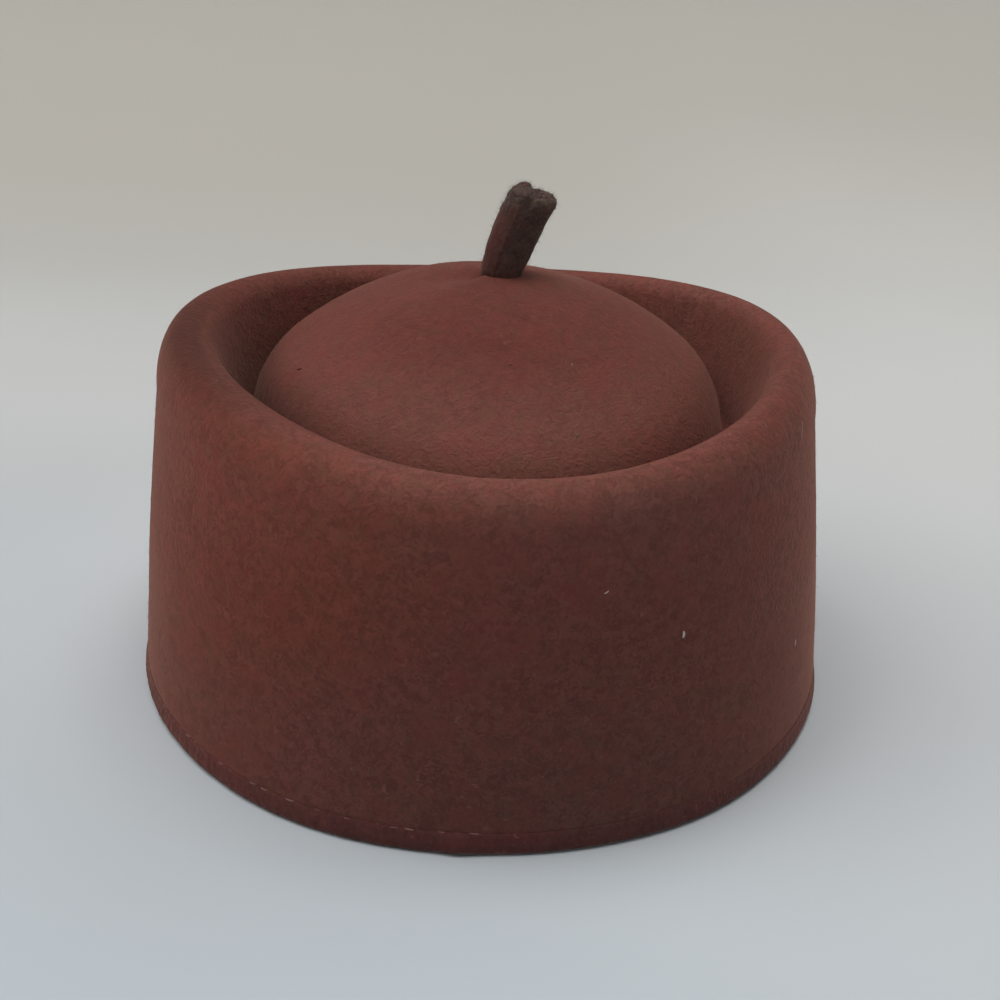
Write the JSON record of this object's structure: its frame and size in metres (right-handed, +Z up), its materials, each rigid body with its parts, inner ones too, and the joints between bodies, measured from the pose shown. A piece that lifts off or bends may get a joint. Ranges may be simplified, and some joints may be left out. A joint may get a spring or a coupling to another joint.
{
  "type": "felt prayer cap",
  "caption": "Stiff felt cap with straight tapering sides, a soft rounded rim, a dome sunk inside the rim and a short rolled felt stalk on top.",
  "frame": {"origin": "centre of the hem on the surface that the cap rests on", "axes": "+Z up through the crown, -Y towards the front, +X to the side that the stalk leans to"},
  "size_m": [0.19, 0.19, 0.1327],
  "materials": {
    "cap_felt": "dense matt wool felt, reddish brown, with a short nap",
    "stalk_felt": "rolled felt, dark brown, dusty and frayed at its cut end"
  },
  "bodies": {
    "root": {"felt_body": "cap_felt", "stalk": "stalk_felt"}
  },
  "joints": []
}
